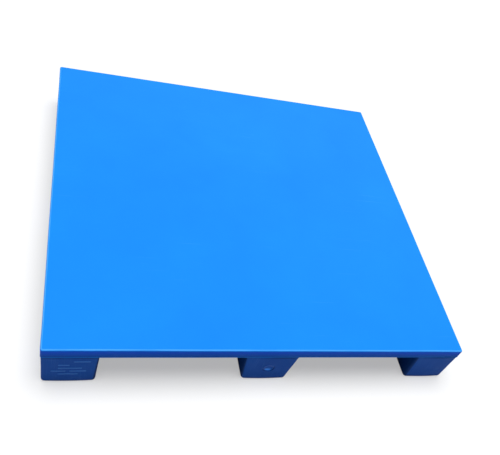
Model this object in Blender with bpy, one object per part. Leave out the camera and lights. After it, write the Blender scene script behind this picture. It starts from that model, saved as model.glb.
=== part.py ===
"""Nine-leg plastic pallet with a closed flat deck.

The deck is two hollow skins, welded along the rim: deck_shell above and base_shell below. Nine hollow
legs snap into openings of the base. Five square steel tubes lie between the skins, from the left rim to
the right one, and a plug closes each end. Two vent plugs sit in the legs halfway along the front and
back edges.

Metres, +Z up. The origin is on the floor, under the middle of the deck. X runs along the front edge, and
the front is at -Y.
"""

import math

import bmesh
import bpy
from mathutils import Matrix, Vector

# Overall sizes
DECK_LENGTH = 1.200  # along X
DECK_WIDTH = 1.200  # along Y
LEG_HEIGHT = 0.116  # floor to the underside of the deck, the height left for forks

# Skins
SKIN = 0.004  # wall of the deck and the base
DECK_CORNER_RADIUS = 0.007  # in plan, at the top of the rim
DECK_EDGE_RADIUS = 0.005  # along the top edge of the rim
OUTER_DRAFT = math.radians(1.5)  # rim and outer leg faces lean inwards, going down
BASE_FLANGE_HEIGHT = 0.016  # the base's upturned edge, welded inside the rim

# Legs
CORNER_LEG_SIZE = 0.1405  # at its head, along either edge of the deck
MIDDLE_LEG_SIZE = 0.154
LEG_WALL = 0.004
LEG_FLOOR = 0.005
LEG_CORNER_RADIUS = 0.006  # in plan, at the head
LEG_FOOT_CORNER_RADIUS = 0.010  # in plan, at the floor
LEG_FOOT_RADIUS = 0.006  # round edge along the foot
LEG_FLARE_RADIUS = 0.009  # round inner corner between a leg and the underside
LEG_FLARE_LIP = 0.0012  # thickness that the flare runs out to
LEG_SET_IN = 0.0011  # step from the rim's face back to the leg's face
CORNER_LEG_DRAFT = math.radians(1.3)
MIDDLE_LEG_DRAFT = math.radians(5.5)

# Snap joint between a leg and the base
NECK_INSET = 0.014  # from the leg's head outline to its neck
NECK_CORNER_RADIUS = 0.008
NECK_WALL = 0.0035
SNAP_BEAD = 0.0015  # how far the bead stands out from the neck
SNAP_BEAD_HEIGHT = 0.001
SNAP_LEAD_IN = 0.0022  # height of the tapered end above the bead
SNAP_TAPER = 0.0005

# Reinforcing tubes
TUBE_SIZE = 0.020
TUBE_WALL = 0.0015
TUBE_CORNER_RADIUS = 0.002
TUBE_OVER_NECK = 0.001  # height of a tube above the legs' necks
TUBE_ROOF = 0.0015  # from the top of a tube to the deck's skin
GUIDE_RIB_WIDTH = 0.003
GUIDE_RIB_DEPTH = 0.006
SADDLE_LENGTH = 0.030
SADDLE_WIDTH = 0.026

# Tube end plugs
PLUG_HEAD = 0.003
PLUG_SINK = 0.0005  # from the rim's face at its lower edge back to the plug's face
PLUG_STEM = 0.018
PLUG_EDGE = 0.0008

# Kiss-off cones, where the base reaches up to the deck
CONE_MOUTH_RADIUS = 0.018
CONE_TOP_RADIUS = 0.011
CONE_SPACING = 0.190  # between two cones in an open bay

# Vent plugs
VENT_HEAD_RADIUS = 0.0155
VENT_HEAD = 0.005  # how deep the head is sunk in the boss
VENT_RIM = 0.0022  # flat ring around the dish
VENT_DISH = 0.004
VENT_STEM_RADIUS = 0.009
VENT_BARB = 0.0008
VENT_BOSS_RADIUS = 0.020
VENT_BOSS = 0.005  # how far the boss stands into the leg
VENT_HEIGHT = 0.059  # centre above the floor

# Clearances
GAP = 0.0003  # between faces that touch
WELD_GAP = 0.0004  # between the base's flange and the rim
NECK_CLEARANCE = 0.0004
TUBE_CLEARANCE = 0.0006

# Roundness
LEAST_RADIUS = 0.0005
CORNER_STEPS = 4
SMALL_CORNER_STEPS = 2
ARC_STEPS = 3
CONE_SIDES = 8
VENT_SIDES = 24

# Levels, from the floor up: what lies between the skins sets the depth of the rim
UNDERSIDE = LEG_HEIGHT
LEG_HEAD = UNDERSIDE - GAP
BASE_TOP = UNDERSIDE + SKIN
BEAD_UNDERSIDE = BASE_TOP + GAP
NECK_TOP = BEAD_UNDERSIDE + SNAP_BEAD_HEIGHT + SNAP_LEAD_IN
TUBE_UNDERSIDE = NECK_TOP + TUBE_OVER_NECK
TUBE_CENTRE = TUBE_UNDERSIDE + TUBE_SIZE / 2
CEILING = TUBE_UNDERSIDE + TUBE_SIZE + TUBE_ROOF
DECK_TOP = CEILING + SKIN
RIM_DEPTH = DECK_TOP - UNDERSIDE

# Distances from the middle of the deck
HALF_X = DECK_LENGTH / 2
HALF_Y = DECK_WIDTH / 2
RIM_SET_IN = RIM_DEPTH * math.tan(OUTER_DRAFT)  # of the rim's lower edge
LEG_EDGE_SET_IN = RIM_SET_IN + LEG_SET_IN


def material(name, colour, roughness, metallic=0.0):
    made = bpy.data.materials.new(name)
    made.use_nodes = True
    made.diffuse_color = (*colour, 1.0)
    shader = made.node_tree.nodes["Principled BSDF"]
    shader.inputs["Base Color"].default_value = (*colour, 1.0)
    shader.inputs["Roughness"].default_value = roughness
    shader.inputs["Metallic"].default_value = metallic
    return made


def new_object(name, bm, finish=None):
    """An object from a finished bmesh, with its normals facing out."""
    bmesh.ops.recalc_face_normals(bm, faces=bm.faces)
    mesh = bpy.data.meshes.new(name)
    bm.to_mesh(mesh)
    bm.free()
    if finish:
        mesh.materials.append(finish)
    made = bpy.data.objects.new(name, mesh)
    bpy.context.collection.objects.link(made)
    return made


def helper(made):
    """Marks an object as a cutter or a tool shape, which isn't a part of the pallet."""
    made.hide_render = True
    made.display_type = "WIRE"
    return made


def combine(body, tool, operation):
    modifier = body.modifiers.new(tool.name, "BOOLEAN")
    modifier.operation = operation
    modifier.solver = "EXACT"
    modifier.object = helper(tool)


def smooth(made, degrees=35):
    made.data.shade_smooth()
    made.data.set_sharp_from_angle(angle=math.radians(degrees))


class Outline:
    """A rounded rectangle seen from above: its four sides and the radius at each corner.

    Sides are given as west, east, south, north. The corners run anticlockwise from south-east.
    """

    def __init__(self, west, east, south, north, radii, steps=CORNER_STEPS):
        self.west, self.east, self.south, self.north = west, east, south, north
        self.radii = radii
        self.steps = steps

    def inset(self, west, east=None, south=None, north=None):
        """The outline with its sides moved inwards, and its corners' radii with them."""
        if east is None:
            east = south = north = west
        moved = (min(east, south), min(east, north), min(west, north), min(west, south))
        return Outline(
            self.west + west,
            self.east - east,
            self.south + south,
            self.north - north,
            [max(radius - by, LEAST_RADIUS) for radius, by in zip(self.radii, moved)],
            self.steps,
        )

    def points(self, z):
        corners = (
            (self.east, self.south, -1, 1, -90),
            (self.east, self.north, -1, -1, 0),
            (self.west, self.north, 1, -1, 90),
            (self.west, self.south, 1, 1, 180),
        )
        ring = []
        for (x, y, towards_x, towards_y, start), radius in zip(corners, self.radii):
            for step in range(self.steps + 1):
                angle = math.radians(start + 90 * step / self.steps)
                ring.append(
                    Vector((
                        x + radius * (towards_x + math.cos(angle)),
                        y + radius * (towards_y + math.sin(angle)),
                        z,
                    ))
                )
        return ring


def skin_rings(bm, rings, matrix=None):
    """Joins rings of equal length into one surface, and closes its two ends."""
    rows = [[bm.verts.new(matrix @ point if matrix else point) for point in ring] for ring in rings]
    for lower, upper in zip(rows, rows[1:]):
        for i, (a, b) in enumerate(zip(lower, upper)):
            after = (i + 1) % len(lower)
            bm.faces.new((a, lower[after], upper[after], b))
    bm.faces.new(reversed(rows[0]))
    bm.faces.new(rows[-1])


def stack(name, levels, finish=None):
    """A solid through outlines at given heights, from one flat end to the other."""
    bm = bmesh.new()
    skin_rings(bm, [outline.points(z) for outline, z in levels])
    return new_object(name, bm, finish)


def boxes(name, bounds):
    """One tool shape that holds a box for each pair of opposite corners."""
    bm = bmesh.new()
    for low, high in bounds:
        size = Vector(high) - Vector(low)
        middle = (Vector(high) + Vector(low)) / 2
        place = Matrix.Translation(middle) @ Matrix.Diagonal((*size, 1.0))
        bmesh.ops.create_cube(bm, size=1.0, matrix=place)
    return new_object(name, bm)


def cones(name, centres, low, high, low_radius, high_radius):
    bm = bmesh.new()
    for x, y in centres:
        bmesh.ops.create_cone(
            bm,
            cap_ends=True,
            segments=CONE_SIDES,
            radius1=low_radius,
            radius2=high_radius,
            depth=high - low,
            matrix=Matrix.Translation((x, y, (low + high) / 2)),
        )
    return new_object(name, bm)


def turned(name, profile, place, sides=VENT_SIDES, finish=None):
    """A solid of revolution about its own Z, from (radius, height) pairs that start and end on the axis."""
    bm = bmesh.new()
    rings = []
    for radius, height in profile[1:-1]:
        turns = [2 * math.pi * i / sides for i in range(sides)]
        rings.append([Vector((radius * math.cos(t), radius * math.sin(t), height)) for t in turns])
    skin_rings(bm, rings)
    made = new_object(name, bm, finish)
    made.matrix_world = place
    return made


# ---------------------------------------------------------------- layout


def leg_spans(length):
    """The three (low, high) spans of the legs' heads along one edge of the deck."""
    edge = length / 2 - LEG_EDGE_SET_IN
    inner = length / 2 - CORNER_LEG_SIZE
    return ((-edge, -inner), (-MIDDLE_LEG_SIZE / 2, MIDDLE_LEG_SIZE / 2), (inner, edge))


def middle(span):
    return (span[0] + span[1]) / 2


COLUMNS = dict(zip(("left", "middle", "right"), leg_spans(DECK_LENGTH)))
ROWS = dict(zip(("front", "middle", "back"), leg_spans(DECK_WIDTH)))


def tube_rows():
    """Where the tubes lie in Y: over each row of legs, and halfway between rows."""
    front, centre, back = (middle(span) for span in ROWS.values())
    return {
        "front": front,
        "front_inner": (front + centre) / 2,
        "middle": centre,
        "back_inner": (centre + back) / 2,
        "back": back,
    }


def bays(spans):
    """The open stretches between legs, as middles."""
    first, second, third = spans.values()
    return ((first[1] + second[0]) / 2, (second[1] + third[0]) / 2)


def cone_centres():
    """Cones on both sides of every tube, clear of the legs."""
    tubes = tube_rows()
    close = rim_hole_size() / 2 + GUIDE_RIB_WIDTH + SKIN + CONE_MOUTH_RADIUS
    wide = CONE_SPACING / 2
    open_columns = [bay + across for bay in bays(COLUMNS) for across in (-wide, wide)]
    leg_columns = [middle(span) for span in COLUMNS.values()]
    centres = []
    for name in ("front", "middle", "back"):
        centres += [(x, tubes[name] + y) for x in open_columns for y in (-close, close)]
    for name in ("front_inner", "back_inner"):
        centres += [(x, tubes[name] + y) for x in open_columns + leg_columns for y in (-wide, wide)]
    return centres


# ---------------------------------------------------------------- deck


def deck_outline():
    return Outline(-HALF_X, HALF_X, -HALF_Y, HALF_Y, [DECK_CORNER_RADIUS] * 4)


def rim_hole_size():
    return TUBE_SIZE + 2 * TUBE_CLEARANCE


def deck_shell(finish):
    outline = deck_outline()
    edge = DECK_EDGE_RADIUS
    levels = []
    for step in range(ARC_STEPS + 1):
        angle = math.pi / 2 * step / ARC_STEPS
        sunk = edge * (1 - math.sin(angle))
        levels.append((outline.inset(edge * (1 - math.cos(angle))), DECK_TOP - sunk))
    levels.insert(0, (outline.inset(RIM_SET_IN), UNDERSIDE))
    inner_foot = outline.inset(RIM_SET_IN + SKIN)
    levels.insert(0, (inner_foot, UNDERSIDE))
    levels.insert(0, (inner_foot, CEILING))
    deck = stack("deck_shell", levels, finish)

    ribs = []
    reach = HALF_X - RIM_SET_IN - SKIN / 2
    beside = rim_hole_size() / 2 + GAP
    for tube in tube_rows().values():
        for side in (-1, 1):
            near, far = sorted((tube + side * beside, tube + side * (beside + GUIDE_RIB_WIDTH)))
            ribs.append(((-reach, near, CEILING - GUIDE_RIB_DEPTH), (reach, far, CEILING + SKIN / 2)))
    combine(deck, boxes("guide_ribs", ribs), "UNION")
    combine(deck, tube_channels("rim_holes"), "DIFFERENCE")
    smooth(deck)
    return deck


def tube_channels(name):
    """The straight ways that the tubes need, right through both rims."""
    half = rim_hole_size() / 2
    reach = HALF_X + SKIN
    return boxes(
        name,
        [
            ((-reach, y - half, TUBE_CENTRE - half), (reach, y + half, TUBE_CENTRE + half))
            for y in tube_rows().values()
        ],
    )


# ---------------------------------------------------------------- base


def base_shell(finish):
    outline = deck_outline().inset(RIM_SET_IN + SKIN + WELD_GAP)
    inner = outline.inset(SKIN)
    flange_top = UNDERSIDE + BASE_FLANGE_HEIGHT
    base = stack(
        "base_shell",
        [(outline, UNDERSIDE), (outline, flange_top), (inner, flange_top), (inner, BASE_TOP)],
        finish,
    )

    centres = cone_centres()
    top = CEILING - GAP
    buried = UNDERSIDE + SKIN / 2
    combine(
        base,
        cones("cone_outsides", centres, buried, top, CONE_MOUTH_RADIUS + SKIN, CONE_TOP_RADIUS + SKIN),
        "UNION",
    )
    combine(base, boxes("saddles", saddle_bounds()), "UNION")
    combine(
        base,
        cones("cone_insides", centres, UNDERSIDE - SKIN, top - SKIN, CONE_MOUTH_RADIUS, CONE_TOP_RADIUS),
        "DIFFERENCE",
    )
    combine(base, neck_openings(), "DIFFERENCE")
    combine(base, tube_channels("flange_slots"), "DIFFERENCE")
    smooth(base)
    return base


def saddle_bounds():
    """Low blocks that carry each tube, in the bays between the legs."""
    bounds = []
    for bay in bays(COLUMNS):
        for y in tube_rows().values():
            low = (bay - SADDLE_LENGTH / 2, y - SADDLE_WIDTH / 2, UNDERSIDE + SKIN / 2)
            high = (bay + SADDLE_LENGTH / 2, y + SADDLE_WIDTH / 2, TUBE_UNDERSIDE - GAP)
            bounds.append((low, high))
    return bounds


def neck_openings():
    """One tool shape with a rounded opening for each leg's neck."""
    bm = bmesh.new()
    for row in ROWS:
        for column in COLUMNS:
            opening = neck_outline(row, column).inset(-NECK_CLEARANCE)
            skin_rings(bm, [opening.points(UNDERSIDE - SKIN), opening.points(BASE_TOP + SKIN)])
    return new_object("neck_openings", bm)


# ---------------------------------------------------------------- legs


def sides(row, column):
    """For each side of a leg, in the order west, east, south, north: is it at the deck's edge?"""
    return (column == "left", column == "right", row == "front", row == "back")


def head_outline(row, column):
    west, east = COLUMNS[column]
    south, north = ROWS[row]
    at_west, at_east, at_south, at_north = sides(row, column)
    corners = ((at_east, at_south), (at_east, at_north), (at_west, at_north), (at_west, at_south))
    edge_radius = DECK_CORNER_RADIUS - LEG_EDGE_SET_IN
    radii = [edge_radius if all(corner) else LEG_CORNER_RADIUS for corner in corners]
    return Outline(west, east, south, north, radii)


def neck_outline(row, column):
    neck = head_outline(row, column).inset(NECK_INSET)
    neck.radii = [NECK_CORNER_RADIUS] * 4
    return neck


def side_drafts(row, column):
    """How far each side of a leg leans in for each metre of height."""
    across = MIDDLE_LEG_DRAFT if column == "middle" else CORNER_LEG_DRAFT
    along = MIDDLE_LEG_DRAFT if row == "middle" else CORNER_LEG_DRAFT
    angles = (across, across, along, along)
    return [
        math.tan(OUTER_DRAFT if at_edge else angle)
        for at_edge, angle in zip(sides(row, column), angles)
    ]


def leg_mesh(row, column):
    head = head_outline(row, column)
    drafts = side_drafts(row, column)
    edges = sides(row, column)

    def side_insets(z, extra=0.0, flare=0.0):
        """Insets from the head for a level: the draft, plus a wall or a rounding, less the flare."""
        return [
            slope * (LEG_HEAD - z) + extra - (0.0 if at_edge else flare)
            for slope, at_edge in zip(drafts, edges)
        ]

    def outline(z, extra=0.0, flare=0.0):
        """The leg's outline at a level. Its corners grow rounder towards the floor."""
        ring = head.inset(*side_insets(z, extra, flare))
        growth = (LEG_FOOT_CORNER_RADIUS - LEG_CORNER_RADIUS) * (1 - z / LEG_HEAD)
        flared = head.inset(*side_insets(LEG_HEAD, flare=flare))
        ring.radii = [max(radius + growth - extra, LEAST_RADIUS) for radius in flared.radii]
        return ring

    levels = []
    for step in range(ARC_STEPS + 1):
        angle = math.pi / 2 * step / ARC_STEPS
        z = LEG_FOOT_RADIUS * (1 - math.cos(angle))
        levels.append((outline(z, LEG_FOOT_RADIUS * (1 - math.sin(angle))), z))
    lip = LEG_HEAD - LEG_FLARE_LIP
    for step in range(ARC_STEPS + 1):
        angle = math.pi / 2 * step / ARC_STEPS
        z = lip - LEG_FLARE_RADIUS * (1 - math.sin(angle))
        levels.append((outline(z, flare=LEG_FLARE_RADIUS * (1 - math.cos(angle))), z))
    levels.append((outline(LEG_HEAD, flare=LEG_FLARE_RADIUS), LEG_HEAD))

    neck = neck_outline(row, column)
    bead_top = BEAD_UNDERSIDE + SNAP_BEAD_HEIGHT
    bore = neck.inset(NECK_WALL)
    shoulder = LEG_HEAD - LEG_WALL
    levels += [
        (neck, LEG_HEAD),
        (neck, BEAD_UNDERSIDE),
        (neck.inset(-SNAP_BEAD), BEAD_UNDERSIDE),
        (neck.inset(-SNAP_BEAD), bead_top),
        (neck.inset(SNAP_TAPER), NECK_TOP),
        (bore, NECK_TOP),
        (bore, shoulder),
        (outline(shoulder, LEG_WALL), shoulder),
        (outline(LEG_FLOOR, LEG_WALL), LEG_FLOOR),
    ]
    return levels


def leg(row, column, finish):
    name = "leg_centre" if row == column == "middle" else f"leg_{row}_{column}"
    made = stack(name, leg_mesh(row, column), finish)
    if (row, column) in VENTED_LEGS:
        cut_vent(made, vent_place(row))
    smooth(made)
    return made


# ---------------------------------------------------------------- vents


VENTED_LEGS = (("front", "middle"), ("back", "middle"))


def vent_place(row):
    """The frame of a vent: its origin on the leg's face, its Z pointing out of the face."""
    outward = -1 if row == "front" else 1
    y = outward * (HALF_Y - LEG_EDGE_SET_IN - math.tan(OUTER_DRAFT) * (LEG_HEAD - VENT_HEIGHT))
    turn = Matrix.Rotation(outward * -(math.pi / 2 + OUTER_DRAFT), 4, "X")
    return Matrix.Translation((0.0, y, VENT_HEIGHT)) @ turn


def cut_vent(body, place):
    """A boss behind the leg's face, and the stepped hole that the vent plug fits."""
    boss = [(0, 0), (VENT_BOSS_RADIUS, -LEG_WALL / 2), (VENT_BOSS_RADIUS, -LEG_WALL - VENT_BOSS), (0, 0)]
    combine(body, turned(body.name + "_boss", boss, place), "UNION")
    seat = -VENT_HEAD - GAP
    head = VENT_HEAD_RADIUS + GAP
    stem = VENT_STEM_RADIUS + GAP
    through = -LEG_WALL - 2 * VENT_BOSS
    hole = [(0, 0), (head, LEG_WALL), (head, seat), (stem, seat), (stem, through), (0, 0)]
    combine(body, turned(body.name + "_vent_hole", hole, place), "DIFFERENCE")


def vent_plug(row, finish):
    """A push-in plug with a dished face, and a barb behind the boss."""
    behind = -LEG_WALL - VENT_BOSS - GAP
    rim = VENT_HEAD_RADIUS - VENT_RIM
    profile = [(0, 0)]
    for step in range(1, ARC_STEPS + 1):
        share = step / ARC_STEPS
        profile.append((rim * share, -VENT_DISH * (1 - share * share)))
    profile += [
        (VENT_HEAD_RADIUS - VENT_BARB, 0),
        (VENT_HEAD_RADIUS, -VENT_BARB),
        (VENT_HEAD_RADIUS, -VENT_HEAD),
        (VENT_STEM_RADIUS, -VENT_HEAD),
        (VENT_STEM_RADIUS, behind),
        (VENT_STEM_RADIUS + VENT_BARB, behind - VENT_BARB),
        (VENT_STEM_RADIUS - VENT_BARB, behind - 3 * VENT_BARB),
        (0, 0),
    ]
    made = turned(f"vent_plug_{row}", profile, vent_place(row), finish=finish)
    smooth(made, 25)
    return made


# ---------------------------------------------------------------- tubes and their plugs


def square(half, radius):
    return Outline(-half, half, -half, half, [radius] * 4, SMALL_CORNER_STEPS)


def along_x(x, y):
    """Turns a stack's height into distance along X, from x, at a tube's height."""
    return Matrix.Translation((x, y, TUBE_CENTRE)) @ Matrix.Rotation(math.pi / 2, 4, "Y")


def plug_face():
    """How far the plugs' faces are from the middle of the deck."""
    return HALF_X - RIM_SET_IN - PLUG_SINK


def reinforcing_tube(name, y, finish):
    half = TUBE_SIZE / 2
    reach = plug_face() - PLUG_HEAD - GAP
    outer = square(half, TUBE_CORNER_RADIUS)
    bore = square(half - TUBE_WALL, TUBE_CORNER_RADIUS - TUBE_WALL)
    tube = stack(f"reinforcing_tube_{name}", [(outer, -reach), (outer, reach)], finish)
    hole = stack(f"tube_bore_{name}", [(bore, -reach - GAP), (bore, reach + GAP)])
    for made in (tube, hole):
        made.matrix_world = along_x(0.0, y)
    combine(tube, hole, "DIFFERENCE")
    smooth(tube)
    return tube


def tube_end_plug(name, side, y, finish):
    """A square head in the rim's hole, with rounded edges, and a stem that grips the tube's bore."""
    head = square(rim_hole_size() / 2 - GAP, TUBE_CORNER_RADIUS)
    stem = square(TUBE_SIZE / 2 - TUBE_WALL - GAP, TUBE_CORNER_RADIUS / 2)
    back = -PLUG_HEAD
    levels = [
        (head.inset(PLUG_EDGE), 0.0),
        (head, -PLUG_EDGE),
        (head, back),
        (stem, back),
        (stem, back - PLUG_STEM + PLUG_EDGE),
        (stem.inset(PLUG_EDGE), back - PLUG_STEM),
    ]
    made = stack(f"tube_end_plug_{name}", levels, finish)
    half_turn = Matrix.Rotation(math.pi if side < 0 else 0.0, 4, "Z")
    made.matrix_world = half_turn @ along_x(plug_face(), side * y)
    smooth(made)
    return made


# ---------------------------------------------------------------- the pallet


def main():
    for old in list(bpy.data.objects):
        bpy.data.objects.remove(old, do_unlink=True)

    deck_plastic = material("deck_polyethylene", (0.018, 0.305, 0.90), 0.42)
    leg_plastic = material("leg_polyethylene", (0.016, 0.270, 0.82), 0.45)
    plug_plastic = material("plug_polyethylene", (0.012, 0.190, 0.62), 0.40)
    steel = material("galvanised_steel", (0.60, 0.61, 0.62), 0.38, metallic=1.0)

    deck_shell(deck_plastic)
    base_shell(leg_plastic)
    for row in ROWS:
        for column in COLUMNS:
            leg(row, column, leg_plastic)
    for row, _ in VENTED_LEGS:
        vent_plug(row, plug_plastic)
    for name, y in tube_rows().items():
        reinforcing_tube(name, y, steel)
        tube_end_plug(f"{name}_left", -1, y, plug_plastic)
        tube_end_plug(f"{name}_right", 1, y, plug_plastic)


main()
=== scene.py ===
"""Looks for a nine-leg plastic pallet with a closed flat deck.

Every visible moulding is rebuilt here at a finer grain than the frame's solids, on the frame's own places
and sizes. The steel tubes inside the deck keep their frame meshes and get their finish here. Metres, +Z up,
the front edge at -Y.
"""

import math

import bmesh
import bpy
from mathutils import Matrix, Vector, noise


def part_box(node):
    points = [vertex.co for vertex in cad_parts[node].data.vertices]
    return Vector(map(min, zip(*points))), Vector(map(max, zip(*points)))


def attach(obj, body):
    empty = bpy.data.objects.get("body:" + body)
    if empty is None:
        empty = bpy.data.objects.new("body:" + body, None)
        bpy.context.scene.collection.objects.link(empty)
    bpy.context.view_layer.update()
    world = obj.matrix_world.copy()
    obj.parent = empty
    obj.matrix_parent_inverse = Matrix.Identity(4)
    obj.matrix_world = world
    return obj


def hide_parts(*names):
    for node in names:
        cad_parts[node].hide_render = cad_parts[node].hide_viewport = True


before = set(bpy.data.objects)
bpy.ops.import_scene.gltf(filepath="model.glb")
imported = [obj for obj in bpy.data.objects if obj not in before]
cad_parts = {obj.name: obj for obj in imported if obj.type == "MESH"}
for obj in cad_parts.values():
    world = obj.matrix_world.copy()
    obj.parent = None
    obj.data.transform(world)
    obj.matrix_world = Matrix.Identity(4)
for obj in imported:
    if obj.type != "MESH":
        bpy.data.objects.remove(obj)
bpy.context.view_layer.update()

BODY = "root"

# Sizes that the finer mouldings share with the frame
SKIN = 0.004
DECK_CORNER_RADIUS = 0.007
DECK_EDGE_RADIUS = 0.005
OUTER_DRAFT = math.radians(1.5)
WELD_GAP = 0.0004
GAP = 0.0003

LEG_WALL = 0.004
LEG_FLOOR = 0.005
LEG_CORNER_RADIUS = 0.006
LEG_FOOT_CORNER_RADIUS = 0.010
LEG_FOOT_RADIUS = 0.006
LEG_FLARE_RADIUS = 0.009
LEG_FLARE_LIP = 0.0012
LEG_SET_IN = 0.0011
CORNER_LEG_DRAFT = math.radians(1.3)
MIDDLE_LEG_DRAFT = math.radians(5.5)
NECK_INSET = 0.014
NECK_CORNER_RADIUS = 0.008
NECK_WALL = 0.0035
NECK_CLEARANCE = 0.0004
SNAP_BEAD = 0.0015
SNAP_BEAD_HEIGHT = 0.001
SNAP_TAPER = 0.0005

GUIDE_RIB_WIDTH = 0.003
GUIDE_RIB_DEPTH = 0.006
TUBE_CLEARANCE = 0.0006
SADDLE_LENGTH = 0.030
SADDLE_WIDTH = 0.026
BASE_FLANGE_HEIGHT = 0.016

CONE_MOUTH_RADIUS = 0.018
CONE_TOP_RADIUS = 0.011
CONE_SPACING = 0.190  # between two cones in an open bay

VENT_HEAD_RADIUS = 0.0155
VENT_HEAD = 0.005
VENT_RIM = 0.0022  # flat ring around the dish
VENT_DISH = 0.004
VENT_STEM_RADIUS = 0.009
VENT_BARB = 0.0008
VENT_BOSS = 0.005
VENT_HEIGHT = 0.059  # centre above the floor

# Details that only the finer mouldings have
RIM_BEAD_HEIGHT = 0.0022  # the flash-trimmed bead along the rim's lower edge
RIM_BEAD_PROUD = 0.0005
LIP_RADIUS = 0.0008
RIM_WAVE = 0.0007  # how far cooling has pulled the straight edges in
CORNER_STIFFNESS = 0.08  # how far from a corner that pull is weaker
BASE_EDGE = 0.0006  # chamfer along the base's lower edge
LEG_CROWN = 0.0016  # the leg's faces swell by this at their middles
LEG_WAVE = 0.0003
LEG_WAVE_SPACING = 1 / 22  # about 45 mm
FOOT_GROOVE_INSET = 0.020
FOOT_GROOVE_WIDTH = 0.003
FOOT_GROOVE_DEPTH = 0.001
SOLE_BORDER = 0.003  # flat band of the sole beside its round edge
CONE_MOUTH_ROUND = 0.003
VENT_LEAD = 0.0012  # round edge of the vent's hole
VENT_EDGE = 0.0011  # round edge of the vent plug
END_CAP_CORNER_RADIUS = 0.0024
END_CAP_EDGE = 0.0012
END_CAP_RIM = 0.0034  # flat band around the end cap's dish
END_CAP_DISH = 0.0008
END_CAP_HEAD = 0.003
END_CAP_GRIP = 0.0018  # from the tube's outside to the stem, for the tube's wall and a clearance
END_CAP_TAPER = 0.0008
LEAST_RADIUS = 0.0005

# Steps in round stretches, and along straight sides that swell or ripple
RIM_SIDE_STEPS = 36
RIM_CORNER_STEPS = 8
LEG_SIDE_STEPS = 12
LEG_CORNER_STEPS = 5
LEG_WALL_STEPS = 9
DISH_STEPS = 8
VENT_SIDES = 48
CONE_SIDES = 28

# Levels and half sizes, from the frame
(_, _, UNDERSIDE), (HALF_X, HALF_Y, DECK_TOP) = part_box("deck_shell")
CEILING = DECK_TOP - SKIN
BASE_TOP = UNDERSIDE + SKIN
LEG_HEAD = UNDERSIDE - GAP
NECK_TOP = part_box("leg_centre")[1][2]
TUBE_LOW, TUBE_HIGH = (corner[2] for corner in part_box("reinforcing_tube_middle"))
TUBE_CENTRE = (TUBE_LOW + TUBE_HIGH) / 2
TUBE_SIZE = TUBE_HIGH - TUBE_LOW
RIM_SET_IN = (DECK_TOP - UNDERSIDE) * math.tan(OUTER_DRAFT)
LEG_EDGE_SET_IN = RIM_SET_IN + LEG_SET_IN


# ---------------------------------------------------------------- materials


def linear(colour):
    """An sRGB hex colour as linear RGBA."""
    values = [int(colour[i : i + 2], 16) / 255 for i in (1, 3, 5)]
    return (*((v / 12.92 if v <= 0.04045 else ((v + 0.055) / 1.055) ** 2.4) for v in values), 1.0)


def feed(tree, socket, value):
    """Links a socket to an output, or sets it to a plain value."""
    if isinstance(value, bpy.types.NodeSocket):
        tree.links.new(value, socket)
    else:
        socket.default_value = value


def add(tree, kind, settings=None, **inputs):
    """Adds a node. The settings are its own properties or its inputs' plain values, by name.

    The other inputs are given by keyword: by name, with _ for a space, or by place, as i0, i1 and so on.
    """
    made = tree.nodes.new(kind)
    for name, value in (settings or {}).items():
        if name in made.inputs:
            made.inputs[name].default_value = value
        else:
            setattr(made, name, value)
    for name, value in inputs.items():
        place = int(name[1:]) if name[1:].isdigit() else name.replace("_", " ")
        feed(tree, made.inputs[place], value)
    return made


def ramp(tree, source, stops):
    """A colour ramp from (position, colour) stops."""
    made = add(tree, "ShaderNodeValToRGB", Fac=source)
    elements = made.color_ramp.elements
    while len(elements) < len(stops):
        elements.new(0.5)
    for element, (position, colour) in zip(elements, stops):
        element.position = position
        element.color = colour
    return made.outputs["Color"]


def mixed(tree, factor, first, second, blend="MIX"):
    """The mix of two colours. The factor and the colours are plain values or outputs."""
    settings = {"data_type": "RGBA", "blend_type": blend}
    return add(tree, "ShaderNodeMix", settings, i0=factor, i6=first, i7=second).outputs[2]


def fade(tree, value, low, high):
    """0 below low, 1 above high, and smooth between."""
    return add(
        tree,
        "ShaderNodeMapRange",
        {"interpolation_type": "SMOOTHSTEP", "From Min": low, "From Max": high},
        Value=value,
    ).outputs["Result"]


def maths(tree, operation, *values):
    inputs = {f"i{place}": value for place, value in enumerate(values)}
    return add(tree, "ShaderNodeMath", {"operation": operation}, **inputs).outputs[0]


def dot(tree, first, second):
    settings = {"operation": "DOT_PRODUCT"}
    return add(tree, "ShaderNodeVectorMath", settings, i0=first, i1=second).outputs["Value"]


def height_of(tree, vector):
    return add(tree, "ShaderNodeSeparateXYZ", Vector=vector).outputs["Z"]


def between(tree, value, least, most):
    """Spreads a value of 0 to 1 between two limits."""
    settings = {"To Min": least, "To Max": most}
    return add(tree, "ShaderNodeMapRange", settings, Value=value).outputs["Result"]


def noise_of(tree, place, spacing, detail=2.0, roughness=0.5):
    """Noise whose lumps are about spacing metres apart."""
    settings = {"Scale": 1.0 / spacing, "Detail": detail, "Roughness": roughness}
    return add(tree, "ShaderNodeTexNoise", settings, Vector=place).outputs["Fac"]


def stretched(tree, place, turn, lengths):
    """The place turned by an angle about Z, and divided by a length in metres along each axis."""
    settings = {"Rotation": (0.0, 0.0, turn), "Scale": tuple(1.0 / length for length in lengths)}
    return add(tree, "ShaderNodeMapping", settings, Vector=place).outputs["Vector"]


def new_material(name, roughness, ior=1.5, specular=0.5, metallic=0.0):
    made = bpy.data.materials.new(name)
    made.use_nodes = True
    tree = made.node_tree
    shader = tree.nodes["Principled BSDF"]
    shader.inputs["Roughness"].default_value = roughness
    shader.inputs["IOR"].default_value = ior
    shader.inputs["Specular IOR Level"].default_value = specular
    shader.inputs["Metallic"].default_value = metallic
    return made, tree, shader


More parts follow.
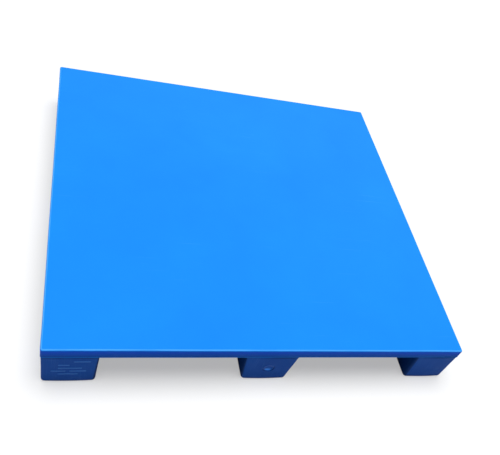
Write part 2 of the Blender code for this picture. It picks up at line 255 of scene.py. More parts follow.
def bumps(tree, layers):
    """Stacked bump nodes from (height output, depth in metres) pairs. Returns the last normal."""
    inputs = {}
    for height, depth in layers:
        settings = {"Strength": 1.0, "Distance": depth}
        inputs["Normal"] = add(tree, "ShaderNodeBump", settings, Height=height, **inputs).outputs["Normal"]
    return inputs["Normal"]


def scuffs(tree, place, turn, length, width, least, most):
    """Thin straight rubs: noise drawn out along one direction, with only its crests kept."""
    drawn = stretched(tree, place, turn, (length, width, length))
    return fade(tree, noise_of(tree, drawn, 1.0, 3.0, 0.6), least, most)


# Spacings of the surface patterns. The grain and the draw lines are really near 0.5 mm, and are drawn
# coarser, so that they show.
GRAIN = 0.0045
DRAW_LINE = 0.0028
DRAW_LENGTH = 0.090
RUB_WIDTH = 0.0022
RUB_LENGTH = 0.060
SPANGLE = 0.006


def moulded_polyethylene(name, lit_top, lit_top_back, rim_top, shaded_rim_foot, rub_and_highlight):
    """High-density polyethylene from a sand-blasted mould: a satin, waxy face with a low grain.

    It gives an even saturated blue with hardly any mirror shine. Faces that look up are painted paler than
    the rim as painted light, and the round edge carries a painted highlight in the same pale colour as the
    rubs.
    """
    made, tree, shader = new_material(name, roughness=0.55, ior=1.53, specular=0.035)
    texture = add(tree, "ShaderNodeTexCoord")
    place = texture.outputs["Object"]
    facing_up = height_of(tree, texture.outputs["Normal"])

    # Painted shade darkens the rim towards its foot, and painted light makes the top paler towards the back
    # right corner
    up_the_rim = fade(tree, height_of(tree, place), UNDERSIDE, DECK_TOP - DECK_EDGE_RADIUS)
    colour = mixed(tree, up_the_rim, linear(shaded_rim_foot), linear(rim_top))
    to_the_back = dot(tree, place, (0.45, 0.90, 0.0))
    top = mixed(tree, fade(tree, to_the_back, -0.80, 0.90), linear(lit_top), linear(lit_top_back))
    # Painted light: faces that look up take the paler top colour, a lit copy of the rim's blue
    colour = mixed(tree, fade(tree, facing_up, 0.10, 0.50), colour, top)

    clouds = noise_of(tree, place, 0.30, 4.0, 0.55)
    shade = ramp(tree, clouds, [(0.30, linear("#F2F5F8")), (0.70, linear("#FFFFFF"))])
    colour = mixed(tree, 1.0, colour, shade, "MULTIPLY")

    # Faint straight scuffs, in patches
    patches = fade(tree, noise_of(tree, place, 0.22, 3.0), 0.50, 0.68)
    lengthways = scuffs(tree, place, 0.18, 0.30, 0.0040, 0.66, 0.74)
    crossways = scuffs(tree, place, 1.45, 0.22, 0.0035, 0.67, 0.75)
    rubs = maths(tree, "MULTIPLY", maths(tree, "MAXIMUM", lengthways, crossways), patches)
    colour = mixed(tree, maths(tree, "MULTIPLY", rubs, 0.12), colour, linear(rub_and_highlight))

    # A painted highlight on the round edge, where the face is between upright and level, patchy along it
    edge = maths(tree, "SUBTRACT", fade(tree, facing_up, 0.45, 0.75), fade(tree, facing_up, 0.96, 0.999))
    highlight_patches = fade(tree, noise_of(tree, place, 0.12, 3.0), 0.25, 0.60)
    edge = maths(tree, "MULTIPLY", edge, maths(tree, "MULTIPLY_ADD", highlight_patches, 0.25, 0.22))
    colour = mixed(tree, edge, colour, linear(rub_and_highlight))
    feed(tree, shader.inputs["Base Color"], colour)

    satin = between(tree, noise_of(tree, place, 0.09, 4.0), 0.47, 0.63)
    feed(tree, shader.inputs["Roughness"], maths(tree, "MULTIPLY_ADD", rubs, 0.12, satin))

    hollows = noise_of(tree, place, 0.16, 1.0)
    peel = noise_of(tree, place, 0.018, 2.0)
    pebbles = noise_of(tree, place, GRAIN, 2.0)
    layers = [(hollows, 0.0016), (peel, 0.00012), (pebbles, 0.00009), (rubs, 0.00004)]
    feed(tree, shader.inputs["Normal"], bumps(tree, layers))
    return made


def leg_polyethylene(name, base, pale, painted_shade="#04142A", dirt="#5F6E86"):
    """The same polyethylene on the legs, where the moulding has been dragged out of a deep draft.

    It gives fine upright draw lines, rubs from forks, painted shade on the walls that face the fork openings
    and in a patchy band under the rim, and a dulled, dusty band at the foot.
    """
    made, tree, shader = new_material(name, roughness=0.56, ior=1.53, specular=0.04)
    texture = add(tree, "ShaderNodeTexCoord")
    place, facing = texture.outputs["Object"], texture.outputs["Normal"]
    height = height_of(tree, place)

    clouds = noise_of(tree, place, 0.07, 4.0, 0.55)
    shade = ramp(tree, clouds, [(0.28, linear("#E6EBF2")), (0.72, linear("#FFFFFF"))])
    colour = mixed(tree, 1.0, linear(base), shade, "MULTIPLY")

    drawn = stretched(tree, place, 0.0, (DRAW_LINE, DRAW_LINE, DRAW_LENGTH))
    lines = noise_of(tree, drawn, 1.0, 3.0)
    colour = mixed(tree, maths(tree, "MULTIPLY", fade(tree, lines, 0.50, 0.75), 0.10), colour, linear(pale))

    level = stretched(tree, place, 0.0, (RUB_LENGTH, RUB_LENGTH, RUB_WIDTH))
    patches = fade(tree, noise_of(tree, place, 0.055), 0.48, 0.66)
    rubs = maths(tree, "MULTIPLY", fade(tree, noise_of(tree, level, 1.0, 3.0), 0.60, 0.70), patches)
    colour = mixed(tree, maths(tree, "MULTIPLY", rubs, 0.30), colour, linear(pale))

    # Painted shade: the walls that face the fork openings are darkened to near black
    # A wall at the deck's edge faces straight out, so its place along its own normal is half the deck
    inner = fade(tree, dot(tree, facing, place), 0.80 * HALF_X, 0.70 * HALF_X)
    wall = fade(tree, maths(tree, "ABSOLUTE", height_of(tree, facing)), 0.80, 0.40)
    shaded_walls = maths(tree, "MULTIPLY", maths(tree, "MULTIPLY", inner, wall), 0.55)
    colour = mixed(tree, shaded_walls, colour, linear(painted_shade))

    # Painted shade in a patchy band at the head, under the rim, and dust at the foot
    shade_patches = fade(tree, noise_of(tree, place, 0.10, 2.0), 0.30, 0.60)
    shade_under_rim = maths(tree, "MULTIPLY", fade(tree, height, LEG_HEAD - 0.008, LEG_HEAD - 0.004), shade_patches)
    colour = mixed(tree, maths(tree, "MULTIPLY", shade_under_rim, 0.32), colour, linear(painted_shade))
    low = add(
        tree, "ShaderNodeMapRange", {"From Min": 0.022, "From Max": 0.0}, Value=height
    ).outputs["Result"]
    dusty = maths(tree, "MULTIPLY", low, fade(tree, noise_of(tree, place, 0.020, 6.0, 0.65), 0.35, 0.75))
    colour = mixed(tree, maths(tree, "MULTIPLY", dusty, 0.22), colour, linear(dirt))
    feed(tree, shader.inputs["Base Color"], colour)

    satin = between(tree, noise_of(tree, place, 0.03, 4.0), 0.46, 0.64)
    feed(tree, shader.inputs["Roughness"], maths(tree, "MULTIPLY_ADD", dusty, 0.2, satin))

    hollows = noise_of(tree, place, 0.06, 1.0)
    pebbles = noise_of(tree, place, GRAIN, 2.0)
    layers = [(hollows, 0.0010), (lines, 0.00012), (pebbles, 0.00009), (rubs, 0.00005)]
    feed(tree, shader.inputs["Normal"], bumps(tree, layers))
    return made


def plug_polyethylene(name, base, pale, painted_highlight):
    """Low-density polyethylene, injection-moulded: a smoother, slightly glossier face than the skins.

    It is painted paler where it faces up, as in the lower half of a dish: a painted highlight.
    """
    made, tree, shader = new_material(name, roughness=0.42, ior=1.52, specular=0.08)
    texture = add(tree, "ShaderNodeTexCoord")
    place = texture.outputs["Object"]
    clouds = fade(tree, noise_of(tree, place, 0.010, 3.0), 0.35, 0.70)
    colour = mixed(tree, maths(tree, "MULTIPLY", clouds, 0.18), linear(base), linear(pale))
    # Painted highlight on the faces that look up
    facing_up_highlight = fade(tree, height_of(tree, texture.outputs["Normal"]), 0.10, 0.42)
    colour = mixed(tree, maths(tree, "MULTIPLY", facing_up_highlight, 0.85), colour, linear(painted_highlight))
    feed(tree, shader.inputs["Base Color"], colour)
    satin = between(tree, noise_of(tree, place, 0.006, 3.0), 0.34, 0.50)
    feed(tree, shader.inputs["Roughness"], satin)
    feed(tree, shader.inputs["Normal"], bumps(tree, [(noise_of(tree, place, 0.0016, 2.0), 0.00004)]))
    return made


def galvanised_steel(name):
    """Hot-dip galvanised steel: a grey metal broken into spangles of slightly different tone and gloss."""
    made, tree, shader = new_material(name, roughness=0.38, metallic=1.0)
    place = add(tree, "ShaderNodeTexCoord").outputs["Object"]
    cells = add(tree, "ShaderNodeTexVoronoi", {"Scale": 1 / SPANGLE}, Vector=place).outputs["Color"]
    tone = add(tree, "ShaderNodeSeparateColor", Color=cells).outputs["Red"]
    colour = ramp(tree, tone, [(0.0, linear("#B4B8BB")), (1.0, linear("#D2D5D6"))])
    feed(tree, shader.inputs["Base Color"], colour)
    feed(tree, shader.inputs["Roughness"], between(tree, tone, 0.28, 0.50))
    feed(tree, shader.inputs["Normal"], bumps(tree, [(noise_of(tree, place, 0.0015, 3.0), 0.00003)]))
    return made


def floor_paint(name, tint, lift):
    """Pale matt studio floor paint, rolled on: it gives a clean ground with a barely uneven tone.

    The floor is lifted towards white where it is seen directly, as on a lit table, so that the shadows
    stay pale. The lift lights nothing else.
    """
    made, tree, shader = new_material(name, roughness=0.9, ior=1.45, specular=0.1)
    place = add(tree, "ShaderNodeTexCoord").outputs["Object"]
    shade = ramp(tree, noise_of(tree, place, 0.8, 2.0), [(0.0, linear("#FAFAFA")), (1.0, linear("#FFFFFF"))])
    feed(tree, shader.inputs["Base Color"], mixed(tree, 1.0, linear(tint), shade, "MULTIPLY"))
    feed(tree, shader.inputs["Normal"], bumps(tree, [(noise_of(tree, place, 0.004), 0.00005)]))

    glow = add(tree, "ShaderNodeEmission", {"Color": linear("#FFFFFF"), "Strength": 1.0})
    seen = add(tree, "ShaderNodeLightPath").outputs["Is Camera Ray"]
    share = maths(tree, "MULTIPLY", seen, lift)
    lifted = add(tree, "ShaderNodeMixShader", i0=share, i1=shader.outputs[0], i2=glow.outputs[0])
    feed(tree, tree.nodes["Material Output"].inputs["Surface"], lifted.outputs[0])
    return made


# ---------------------------------------------------------------- mesh tools


def new_object(name, bm, finish):
    bmesh.ops.recalc_face_normals(bm, faces=bm.faces)
    mesh = bpy.data.meshes.new(name)
    bm.to_mesh(mesh)
    bm.free()
    mesh.materials.append(finish)
    made = bpy.data.objects.new(name, mesh)
    bpy.context.collection.objects.link(made)
    return made


def smooth(made, degrees=30):
    made.data.shade_smooth()
    made.data.set_sharp_from_angle(angle=math.radians(degrees))


def combine(body, tool, operation):
    """Runs a Boolean at once, and removes its tool shape."""
    modifier = body.modifiers.new(tool.name, "BOOLEAN")
    modifier.operation = operation
    modifier.solver = "EXACT"
    modifier.object = tool
    graph = bpy.context.evaluated_depsgraph_get()
    result = bpy.data.meshes.new_from_object(body.evaluated_get(graph))
    body.modifiers.clear()
    body.data = result
    bpy.data.objects.remove(tool, do_unlink=True)


class Outline:
    """A rounded rectangle seen from above: its four sides and the radius at each corner.

    The corners run anticlockwise from south-east.
    """

    def __init__(self, west, east, south, north, radii):
        self.west, self.east, self.south, self.north = west, east, south, north
        self.radii = radii

    def inset(self, west, east=None, south=None, north=None):
        """The outline with its sides moved inwards, and its corners' radii with them."""
        if east is None:
            east = south = north = west
        moved = (min(east, south), min(east, north), min(west, north), min(west, south))
        return Outline(
            self.west + west,
            self.east - east,
            self.south + south,
            self.north - north,
            [max(radius - by, LEAST_RADIUS) for radius, by in zip(self.radii, moved)],
        )

    def points(self, z, crown=0.0, side_steps=1, corner_steps=6):
        """The ring at a height. The sides swell by crown at their middles."""
        corners = (
            (self.east, self.south, -1, 1, -90),
            (self.east, self.north, -1, -1, 0),
            (self.west, self.north, 1, -1, 90),
            (self.west, self.south, 1, 1, 180),
        )
        arcs = []
        for (x, y, towards_x, towards_y, start), radius in zip(corners, self.radii):
            turns = [math.radians(start + 90 * step / corner_steps) for step in range(corner_steps + 1)]
            arcs.append([
                Vector((x + radius * (towards_x + math.cos(t)), y + radius * (towards_y + math.sin(t)), z))
                for t in turns
            ])
        outward = (Vector((1, 0, 0)), Vector((0, 1, 0)), Vector((-1, 0, 0)), Vector((0, -1, 0)))
        ring = []
        for i, arc in enumerate(arcs):
            ring += arc
            end = arcs[(i + 1) % 4][0]
            for step in range(1, side_steps):
                share = step / side_steps
                swell = crown * (1 - (2 * share - 1) ** 2)
                ring.append(arc[-1].lerp(end, share) + outward[i] * swell)
        return ring


def skin_rings(bm, rings):
    """Joins rings of equal length into one surface, and closes its two ends."""
    rows = [[bm.verts.new(point) for point in ring] for ring in rings]
    for lower, upper in zip(rows, rows[1:]):
        for i, (a, b) in enumerate(zip(lower, upper)):
            after = (i + 1) % len(lower)
            bm.faces.new((a, lower[after], upper[after], b))
    bm.faces.new(reversed(rows[0]))
    bm.faces.new(rows[-1])


def turned_rings(profile, sides, place):
    """Rings about the place's Z, from (radius, height) pairs."""
    turns = [2 * math.pi * i / sides for i in range(sides)]
    return [
        [place @ Vector((radius * math.cos(t), radius * math.sin(t), height)) for t in turns]
        for radius, height in profile
    ]


def arc(steps):
    """(sine, cosine) pairs for a quarter turn."""
    turns = [math.pi / 2 * step / steps for step in range(steps + 1)]
    return [(math.sin(t), math.cos(t)) for t in turns]


def boxes(name, bounds, finish):
    bm = bmesh.new()
    for low, high in bounds:
        size = Vector(high) - Vector(low)
        middle = (Vector(high) + Vector(low)) / 2
        bmesh.ops.create_cube(bm, size=1.0, matrix=Matrix.Translation(middle) @ Matrix.Diagonal((*size, 1)))
    return new_object(name, bm, finish)


def stand_for(piece, node):
    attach(piece, BODY)
    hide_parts(node)


# ---------------------------------------------------------------- layout


def leg_spans(half):
    """The three (low, high) spans of the legs' heads along one edge, read from the frame's legs."""
    centre = [corner[0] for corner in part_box("leg_centre")]
    corner_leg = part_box("leg_front_left")
    inner = -corner_leg[1][0] + LEG_FLARE_RADIUS
    edge = half - LEG_EDGE_SET_IN
    middle_half = centre[1] - LEG_FLARE_RADIUS
    return ((-edge, -inner), (-middle_half, middle_half), (inner, edge))


COLUMNS = dict(zip(("left", "middle", "right"), leg_spans(HALF_X)))
ROWS = dict(zip(("front", "middle", "back"), leg_spans(HALF_Y)))
TUBES = {
    name: sum(corner[1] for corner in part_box(f"reinforcing_tube_{name}")) / 2
    for name in ("front", "front_inner", "middle", "back_inner", "back")
}


def middle(span):
    return (span[0] + span[1]) / 2


def bays(spans):
    first, second, third = spans.values()
    return ((first[1] + second[0]) / 2, (second[1] + third[0]) / 2)


def cone_centres():
    close = TUBE_SIZE / 2 + TUBE_CLEARANCE + GUIDE_RIB_WIDTH + SKIN + CONE_MOUTH_RADIUS
    wide = CONE_SPACING / 2
    open_columns = [bay + across for bay in bays(COLUMNS) for across in (-wide, wide)]
    leg_columns = [middle(span) for span in COLUMNS.values()]
    centres = []
    for name in ("front", "middle", "back"):
        centres += [(x, TUBES[name] + y) for x in open_columns for y in (-close, close)]
    for name in ("front_inner", "back_inner"):
        centres += [(x, TUBES[name] + y) for x in open_columns + leg_columns for y in (-wide, wide)]
    return centres


def tube_channels(name, finish):
    half = TUBE_SIZE / 2 + TUBE_CLEARANCE
    reach = HALF_X + SKIN
    return boxes(
        name,
        [
            ((-reach, y - half, TUBE_CENTRE - half), (reach, y + half, TUBE_CENTRE + half))
            for y in TUBES.values()
        ],
        finish,
    )


# ---------------------------------------------------------------- deck


def deck_outline():
    return Outline(-HALF_X, HALF_X, -HALF_Y, HALF_Y, [DECK_CORNER_RADIUS] * 4)


def pulled_in(point):
    """A point of the rim drawn in by cooling, unevenly, less near the stiff corners and never outwards."""
    if max(abs(point.x), abs(point.y)) < HALF_X - 2 * DECK_CORNER_RADIUS:
        return point
    along = point.y if abs(point.x) > abs(point.y) else point.x
    ripple = 0.5 + 0.5 * noise.noise(Vector((along * 6.0, math.copysign(3.0, point.x + point.y), 0.7)))
    from_corner = min(1.0, (HALF_X - abs(along)) / CORNER_STIFFNESS)
    share = 1 - RIM_WAVE * ripple * max(from_corner, 0.0) / HALF_X
    if abs(point.x) > abs(point.y):
        return Vector((point.x * share, point.y, point.z))
    return Vector((point.x, point.y * share, point.z))


def deck(finish):
    """The upper skin: a flat top, a round edge, and a rim that ends in a trimmed bead."""
    outline = deck_outline()
    edge = DECK_EDGE_RADIUS

    def set_in(z):
        return (DECK_TOP - z) * math.tan(OUTER_DRAFT)

    inner_foot = outline.inset(RIM_SET_IN + SKIN)
    levels = [(inner_foot, CEILING), (inner_foot, UNDERSIDE)]
    proud = set_in(UNDERSIDE) - RIM_BEAD_PROUD
    for sine, cosine in arc(3):
        levels.append((outline.inset(proud + LIP_RADIUS * (1 - sine)), UNDERSIDE + LIP_RADIUS * (1 - cosine)))
    bead_top = UNDERSIDE + RIM_BEAD_HEIGHT
    levels.append((outline.inset(proud), bead_top - RIM_BEAD_PROUD))
    levels.append((outline.inset(set_in(bead_top) - RIM_BEAD_PROUD * 0.3), bead_top))
    for share in (0.06, 0.3, 0.6, 0.9):  # up the rim's face, closest just above the bead
        z = bead_top + share * (DECK_TOP - edge - bead_top)
        levels.append((outline.inset(set_in(z)), z))
    for sine, cosine in arc(RIM_CORNER_STEPS):
        levels.append((outline.inset(edge * (1 - cosine)), DECK_TOP - edge * (1 - sine)))
    for further in (0.004, 0.030):  # keeps the round edge's shading off the flat top
        levels.append((outline.inset(edge + further), DECK_TOP))

    bm = bmesh.new()
    rings = [ring.points(z, 0.0, RIM_SIDE_STEPS, RIM_CORNER_STEPS) for ring, z in levels]
    skin_rings(bm, [[pulled_in(point) for point in ring] for ring in rings])
    made = new_object("deck_skin", bm, finish)

    ribs = []
    reach = HALF_X - RIM_SET_IN - SKIN / 2
    beside = TUBE_SIZE / 2 + TUBE_CLEARANCE + GAP
    for tube in TUBES.values():
        for side in (-1, 1):
            near, far = sorted((tube + side * beside, tube + side * (beside + GUIDE_RIB_WIDTH)))
            ribs.append(((-reach, near, CEILING - GUIDE_RIB_DEPTH), (reach, far, CEILING + SKIN / 2)))
    combine(made, boxes("guide_ribs", ribs, finish), "UNION")
    combine(made, tube_channels("rim_holes", finish), "DIFFERENCE")
    smooth(made)
    stand_for(made, "deck_shell")


# ---------------------------------------------------------------- base


def base(finish):
    """The lower skin: a tray with leg openings, tube saddles, and cones that reach up to the deck."""
    outline = deck_outline().inset(RIM_SET_IN + SKIN + WELD_GAP)
    inner = outline.inset(SKIN)
    flange_top = UNDERSIDE + BASE_FLANGE_HEIGHT
    levels = [
        (inner, UNDERSIDE),
        (outline.inset(BASE_EDGE), UNDERSIDE),
        (outline, UNDERSIDE + BASE_EDGE),
        (outline, flange_top),
        (inner, flange_top),
        (inner, BASE_TOP),
    ]
    bm = bmesh.new()
    skin_rings(bm, [ring.points(z) for ring, z in levels])
    made = new_object("base_skin", bm, finish)

    sides = CONE_SIDES
    top = CEILING - GAP
    buried = UNDERSIDE + SKIN / 2
    outside = [(CONE_MOUTH_RADIUS + SKIN, buried), (CONE_TOP_RADIUS + SKIN, top)]
    inside = cone_bore(top - SKIN)
    outer, bore = bmesh.new(), bmesh.new()
    for x, y in cone_centres():
        place = Matrix.Translation((x, y, 0.0))
        skin_rings(outer, turned_rings(outside, sides, place))
        skin_rings(bore, turned_rings(inside, sides, place))
    combine(made, new_object("cone_outsides", outer, finish), "UNION")

    saddles = []
    for bay in bays(COLUMNS):
        for y in TUBES.values():
            low = (bay - SADDLE_LENGTH / 2, y - SADDLE_WIDTH / 2, buried)
            saddles.append((low, (bay + SADDLE_LENGTH / 2, y + SADDLE_WIDTH / 2, TUBE_LOW - GAP)))
    combine(made, boxes("saddles", saddles, finish), "UNION")
    combine(made, new_object("cone_insides", bore, finish), "DIFFERENCE")

    openings = bmesh.new()
    for row in ROWS:
        for column in COLUMNS:
            opening = neck_outline(row, column).inset(-NECK_CLEARANCE)
            skin_rings(openings, [opening.points(UNDERSIDE - SKIN), opening.points(BASE_TOP + SKIN)])
    combine(made, new_object("neck_openings", openings, finish), "DIFFERENCE")
    combine(made, tube_channels("flange_slots", finish), "DIFFERENCE")
    smooth(made)
    stand_for(made, "base_shell")


def cone_bore(top):
    """(radius, height) pairs of a cone's inside, rounded at its mouth and at its top."""
    foot = UNDERSIDE - SKIN
    lean = (CONE_MOUTH_RADIUS - CONE_TOP_RADIUS) / (top - foot)

    def radius(z):
        return CONE_MOUTH_RADIUS - lean * (z - foot)

    flare = CONE_MOUTH_ROUND
    profile = [(radius(UNDERSIDE) + flare, UNDERSIDE - flare / 3)]
    for sine, _ in arc(4):
        z = UNDERSIDE + flare * 0.8 * sine
        profile.append((radius(z) + flare * (1 - sine) ** 1.5, z))
    for sine, cosine in arc(3):
        z = top - flare * (1 - sine)
        profile.append((radius(z) - flare * (1 - cosine), z))
    return profile


# ---------------------------------------------------------------- legs


def at_edge(row, column):
    """For each side of a leg, in the order west, east, south, north: is it at the deck's edge?"""
    return (column == "left", column == "right", row == "front", row == "back")


def head_outline(row, column):
    west, east = COLUMNS[column]
    south, north = ROWS[row]
    at_west, at_east, at_south, at_north = at_edge(row, column)
    corners = ((at_east, at_south), (at_east, at_north), (at_west, at_north), (at_west, at_south))
    edge_radius = DECK_CORNER_RADIUS - LEG_EDGE_SET_IN
    radii = [edge_radius if all(corner) else LEG_CORNER_RADIUS for corner in corners]
    return Outline(west, east, south, north, radii)


def neck_outline(row, column):
    neck = head_outline(row, column).inset(NECK_INSET)
    neck.radii = [NECK_CORNER_RADIUS] * 4
    return neck


def leg_rings(row, column):
    """Rings from the foot's outside, up over the neck, and down the inside to the floor."""
    head = head_outline(row, column)
    edges = at_edge(row, column)
    across = MIDDLE_LEG_DRAFT if column == "middle" else CORNER_LEG_DRAFT
    along = MIDDLE_LEG_DRAFT if row == "middle" else CORNER_LEG_DRAFT
    angles = (across, across, along, along)
    slopes = [math.tan(OUTER_DRAFT if edge else angle) for edge, angle in zip(edges, angles)]

    def side_insets(z, extra=0.0, flare=0.0):
        """Insets from the head for a level: the draft, plus a wall or a rounding, less the flare."""
        return [
            slope * (LEG_HEAD - z) + extra - (0.0 if edge else flare)
            for slope, edge in zip(slopes, edges)
        ]

    def outline(z, extra=0.0, flare=0.0):
        """The leg's outline at a level. Its corners grow rounder towards the floor."""
        ring = head.inset(*side_insets(z, extra, flare))
        growth = (LEG_FOOT_CORNER_RADIUS - LEG_CORNER_RADIUS) * (1 - z / LEG_HEAD)
        flared = head.inset(*side_insets(LEG_HEAD, flare=flare))
        ring.radii = [max(radius + growth - extra, LEAST_RADIUS) for radius in flared.radii]
        return ring

    # (outline, height, swell) for each ring, from the middle of the sole outwards and up the walls
    groove_in = LEG_FOOT_RADIUS + FOOT_GROOVE_INSET
    groove_out = groove_in + FOOT_GROOVE_WIDTH
    groove_side = FOOT_GROOVE_DEPTH / 2
    outside = [
        (outline(0.0, groove_out + groove_side), 0.0, 0.0),
        (outline(0.0, groove_out), FOOT_GROOVE_DEPTH, 0.0),
        (outline(0.0, groove_in + groove_side), FOOT_GROOVE_DEPTH, 0.0),
        (outline(0.0, groove_in), 0.0, 0.0),
        (outline(0.0, LEG_FOOT_RADIUS + SOLE_BORDER), 0.0, 0.0),
    ]
    for sine, cosine in arc(6):
        z = LEG_FOOT_RADIUS * (1 - cosine)
        outside.append((outline(z, LEG_FOOT_RADIUS * (1 - sine)), z, LEG_CROWN * sine))
    lip = LEG_HEAD - LEG_FLARE_LIP
    wall_top = lip - LEG_FLARE_RADIUS
    for step in range(1, LEG_WALL_STEPS):
        z = LEG_FOOT_RADIUS + (wall_top - LEG_FOOT_RADIUS) * step / LEG_WALL_STEPS
        outside.append((outline(z), z, LEG_CROWN))
    head_crown = LEG_CROWN / 4
    for sine, cosine in arc(7):
        z = lip - LEG_FLARE_RADIUS * (1 - sine)
        crown = head_crown + (LEG_CROWN - head_crown) * cosine
        outside.append((outline(z, flare=LEG_FLARE_RADIUS * (1 - cosine)), z, crown))
    outside.append((outline(LEG_HEAD, flare=LEG_FLARE_RADIUS), LEG_HEAD, head_crown))

    neck = neck_outline(row, column)
    bead_underside = BASE_TOP + GAP
    bore = neck.inset(NECK_WALL)
    shoulder = LEG_HEAD - LEG_WALL
    inside = [
        (neck, LEG_HEAD),
        (neck, bead_underside),
        (neck.inset(-SNAP_BEAD), bead_underside),
        (neck.inset(-SNAP_BEAD), bead_underside + SNAP_BEAD_HEIGHT),
        (neck.inset(SNAP_TAPER), NECK_TOP),
        (bore, NECK_TOP),
        (bore, shoulder),
        (outline(shoulder, LEG_WALL), shoulder),
        (outline(LEG_FLOOR, LEG_WALL), LEG_FLOOR),
    ]
    rings = [ring.points(z, crown, LEG_SIDE_STEPS, LEG_CORNER_STEPS) for ring, z, crown in outside]
    rings = [[rippled(point) for point in ring] for ring in rings]
    return rings + [ring.points(z, 0.0, LEG_SIDE_STEPS, LEG_CORNER_STEPS) for ring, z in inside]


def rippled(point):
    """A point of a leg's wall moved a little sideways, as thick plastic cools. Feet stay flat."""
    if point.z < LEG_FOOT_RADIUS or point.z > LEG_HEAD - LEG_FLARE_LIP - GAP:
        return point
    place = point / LEG_WAVE_SPACING
    elsewhere = place + Vector((0.0, 0.0, 40.0))  # far enough that the two waves have nothing in common
    return point + Vector((noise.noise(place), noise.noise(elsewhere), 0.0)) * LEG_WAVE


def leg(row, column, finish):
    name = "leg_centre" if row == column == "middle" else f"leg_{row}_{column}"
    bm = bmesh.new()
    skin_rings(bm, leg_rings(row, column))
    made = new_object(name + "_moulding", bm, finish)
    if name in ("leg_front_middle", "leg_back_middle"):
        cut_vent(made, vent_place(row), finish)
    smooth(made)
    stand_for(made, name)


# ---------------------------------------------------------------- vents


def vent_place(row):
    """The frame of a vent: its origin on the leg's face, its Z pointing out of the face."""
    outward = -1 if row == "front" else 1
    y = outward * (HALF_Y - LEG_EDGE_SET_IN - math.tan(OUTER_DRAFT) * (LEG_HEAD - VENT_HEIGHT))
    turn = Matrix.Rotation(outward * -(math.pi / 2 + OUTER_DRAFT), 4, "X")
    return Matrix.Translation((0.0, y, VENT_HEIGHT)) @ turn


def cut_vent(made, place, finish):
    """A boss behind the leg's face, and a stepped hole with a round edge."""
    head = VENT_HEAD_RADIUS + GAP
    stem = VENT_STEM_RADIUS + GAP
    face = LEG_CROWN  # the leg's face stands out by its swell here
    clear = 0.003  # how far the cut starts outside the face
    boss = [(head + SKIN, -LEG_WALL / 2), (head + SKIN, -LEG_WALL - VENT_BOSS)]
    hole = [
        (head + VENT_LEAD + clear, face + clear),
        (head + VENT_LEAD, face),
        (head + VENT_LEAD * 0.3, face - VENT_LEAD * 0.7),
        (head, face - VENT_LEAD * 1.6),
        (head, -VENT_HEAD - GAP),
        (stem, -VENT_HEAD - GAP),
        (stem, -LEG_WALL - 2 * VENT_BOSS),
    ]
    for profile, operation in ((boss, "UNION"), (hole, "DIFFERENCE")):
        bm = bmesh.new()
        skin_rings(bm, turned_rings(profile, VENT_SIDES, place))
        combine(made, new_object("vent_tool", bm, finish), operation)


def vent_plug(row, finish):
    """A push-in plug with a dished face, and a barb behind the boss."""
    behind = -LEG_WALL - VENT_BOSS - GAP
    dish = VENT_HEAD_RADIUS - VENT_RIM
    profile = []
    for step in range(1, DISH_STEPS + 1):
        share = step / DISH_STEPS
        profile.append((dish * share, -VENT_DISH * (1 - share * share)))
    for sine, cosine in arc(4):
        profile.append((VENT_HEAD_RADIUS - VENT_EDGE * (1 - sine), -VENT_EDGE * (1 - cosine)))
    profile += [
        (VENT_HEAD_RADIUS, -VENT_HEAD),
        (VENT_STEM_RADIUS, -VENT_HEAD),
        (VENT_STEM_RADIUS, behind),
        (VENT_STEM_RADIUS + VENT_BARB, behind - VENT_BARB),
        (VENT_STEM_RADIUS - VENT_BARB, behind - 3 * VENT_BARB),
    ]
    bm = bmesh.new()
    skin_rings(bm, turned_rings(profile, VENT_SIDES, vent_place(row)))
    made = new_object(f"vent_cap_{row}", bm, finish)
    smooth(made, 40)
    stand_for(made, f"vent_plug_{row}")


# ---------------------------------------------------------------- tube end plugs


def tube_end_cap(name, finish):
    """A square plug with a rounded, dished head and a stem that grips the tube."""
    low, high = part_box(f"tube_end_plug_{name}")
    y, z = (low[1] + high[1]) / 2, (low[2] + high[2]) / 2
    outward = 1 if high[0] > 0 else -1
    face = high[0] if outward > 0 else low[0]
    half = (high[1] - low[1]) / 2
    length = high[0] - low[0]
    head = Outline(-half, half, -half, half, [END_CAP_CORNER_RADIUS] * 4)
    stem = head.inset(half - TUBE_SIZE / 2 + END_CAP_GRIP)
    levels = [
        (head.inset(END_CAP_RIM + 2 * END_CAP_DISH), -END_CAP_DISH),
        (head.inset(END_CAP_RIM + END_CAP_DISH), -END_CAP_DISH * 0.75),
        (head.inset(END_CAP_RIM), 0.0),
    ]
    for sine, cosine in arc(4):
        levels.append((head.inset(END_CAP_EDGE * (1 - sine)), -END_CAP_EDGE * (1 - cosine)))
    levels += [
        (head, -END_CAP_HEAD),
        (stem, -END_CAP_HEAD),
        (stem, -length + END_CAP_TAPER),
        (stem.inset(END_CAP_TAPER), -length),
    ]
    turn = Matrix.Rotation(math.pi / 2 * outward, 4, "Y")
    place = Matrix.Translation((face, y, z)) @ turn
    bm = bmesh.new()
    skin_rings(bm, [[place @ point for point in ring.points(level)] for ring, level in levels])
    made = new_object(f"end_cap_{name}", bm, finish)
    smooth(made, 40)
    stand_for(made, f"tube_end_plug_{name}")


# ---------------------------------------------------------------- blank data panel


PANEL_BARS = (
    # (start and end, in shares of the leg's width, and height above the floor)
    (0.56, 0.86, 0.098),
    (0.30, 0.50, 0.082),
    (0.30, 0.72, 0.068),
    (0.18, 0.44, 0.054),
    (0.50, 0.80, 0.054),
    (0.30, 0.66, 0.040),
)
BAR_HALF_HEIGHT = 0.0022
BAR_PROUD = 0.0007
BAR_BURIED = 0.0018
BAR_EDGE = 0.0009


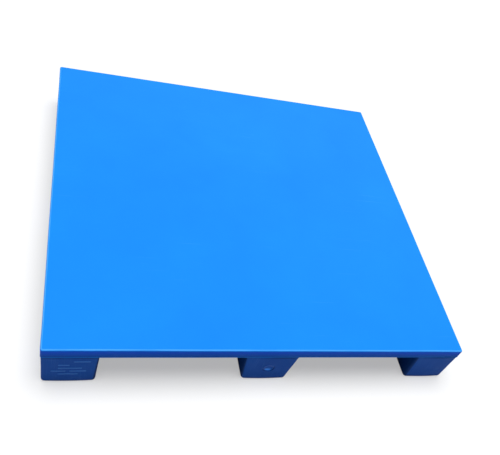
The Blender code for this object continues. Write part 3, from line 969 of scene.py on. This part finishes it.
def data_panel(finish):
    """Plain raised bars on the left front leg, where a maker's data would be moulded."""
    west, east = COLUMNS["left"]
    bm = bmesh.new()
    for start, end, height in PANEL_BARS:
        face = -(HALF_Y - LEG_EDGE_SET_IN - math.tan(OUTER_DRAFT) * (LEG_HEAD - height))
        low, high = (west + share * (east - west) for share in (start, end))
        middle_share = (start + end) / 2
        swell = LEG_CROWN * (1 - (2 * middle_share - 1) ** 2)
        bar = Outline(low, high, -BAR_HALF_HEIGHT, BAR_HALF_HEIGHT, [BAR_HALF_HEIGHT * 0.95] * 4)
        place = Matrix.Translation((0.0, face - swell, height)) @ Matrix.Rotation(math.pi / 2, 4, "X")
        levels = [
            (bar, -BAR_BURIED),
            (bar, BAR_PROUD * 0.3),
            (bar.inset(BAR_EDGE / 3), BAR_PROUD * 0.8),
            (bar.inset(BAR_EDGE), BAR_PROUD),
        ]
        skin_rings(bm, [[place @ point for point in ring.points(z)] for ring, z in levels])
    made = new_object("blank_data_panel", bm, finish)
    smooth(made, 50)
    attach(made, BODY)


# ---------------------------------------------------------------- studio


def studio():
    """A pale floor, one broad soft light overhead, and a weak even surround."""
    bm = bmesh.new()
    bmesh.ops.create_grid(bm, x_segments=1, y_segments=1, size=20.0)
    floor = new_object("studio_floor", bm, floor_paint("matt_floor_paint", "#E6E7E8", lift=0.42))
    floor.location.z = -0.0002

    light = bpy.data.lights.new("overhead_light", "SUN")
    light.angle = math.radians(52)
    light.energy = 4.15
    lamp = bpy.data.objects.new("overhead_light", light)
    lamp.location = (0.1, 0.3, 4.0)
    lamp.rotation_euler = (-lamp.location).to_track_quat("-Z", "Y").to_euler()
    bpy.context.collection.objects.link(lamp)

    world = bpy.data.worlds.new("studio_surround")
    world.use_nodes = True
    tree = world.node_tree
    white = linear("#FFFFFF")
    surround = tree.nodes["Background"]
    surround.inputs["Color"].default_value = white
    surround.inputs["Strength"].default_value = 0.08
    backdrop = add(tree, "ShaderNodeBackground", {"Color": white, "Strength": 1.0})
    seen = add(tree, "ShaderNodeLightPath").outputs["Is Camera Ray"]
    choice = add(tree, "ShaderNodeMixShader", i0=seen, i1=surround.outputs[0], i2=backdrop.outputs[0])
    feed(tree, tree.nodes["World Output"].inputs["Surface"], choice.outputs[0])
    bpy.context.scene.world = world
    bpy.context.scene.view_settings.view_transform = "Standard"


def camera():
    """Eye height of a standing person, close to the front edge, looking down over the deck."""
    data = bpy.data.cameras.new("camera")
    data.sensor_width = 36.0
    data.lens = 45.59
    data.shift_x = -0.0907
    data.shift_y = 0.0532
    made = bpy.data.objects.new("camera", data)
    made.location = (-0.5787, -1.4958, 1.5226)
    made.rotation_euler = (math.radians(43.64), math.radians(-17.56), math.radians(-11.74))
    bpy.context.collection.objects.link(made)
    bpy.context.scene.camera = made


# ---------------------------------------------------------------- the pallet


def main():
    camera()
    # The deck's top colours are a lit copy of the rim's blue, and the rim darkens to its foot: painted light
    # and shade
    skin_plastic = moulded_polyethylene(
        "moulded_polyethylene",
        lit_top="#1582E5",
        lit_top_back="#2386E5",
        rim_top="#0049C4",
        shaded_rim_foot="#024596",
        rub_and_highlight="#63B9FF",
    )
    # The legs' and plugs' blue is a darker copy of the deck's, as painted shade; the bars' paler blue is a
    # painted highlight
    leg_plastic = leg_polyethylene("drawn_polyethylene", base="#0C4696", pale="#4479C2")
    lit_bar_plastic = leg_polyethylene("highlit_polyethylene", base="#3468B4", pale="#6C9CDC")
    plug_plastic = plug_polyethylene(
        "injection_moulded_polyethylene", base="#0D489C", pale="#1C5DB6", painted_highlight="#3C8CF4"
    )
    steel = galvanised_steel("galvanised_steel")

    deck(skin_plastic)
    base(leg_plastic)
    for row in ROWS:
        for column in COLUMNS:
            leg(row, column, leg_plastic)
    data_panel(lit_bar_plastic)
    for row in ("front", "back"):
        vent_plug(row, plug_plastic)
    for name in TUBES:
        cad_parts[f"reinforcing_tube_{name}"].data.materials[0] = steel
        for side in ("left", "right"):
            tube_end_cap(f"{name}_{side}", plug_plastic)
    studio()


main()
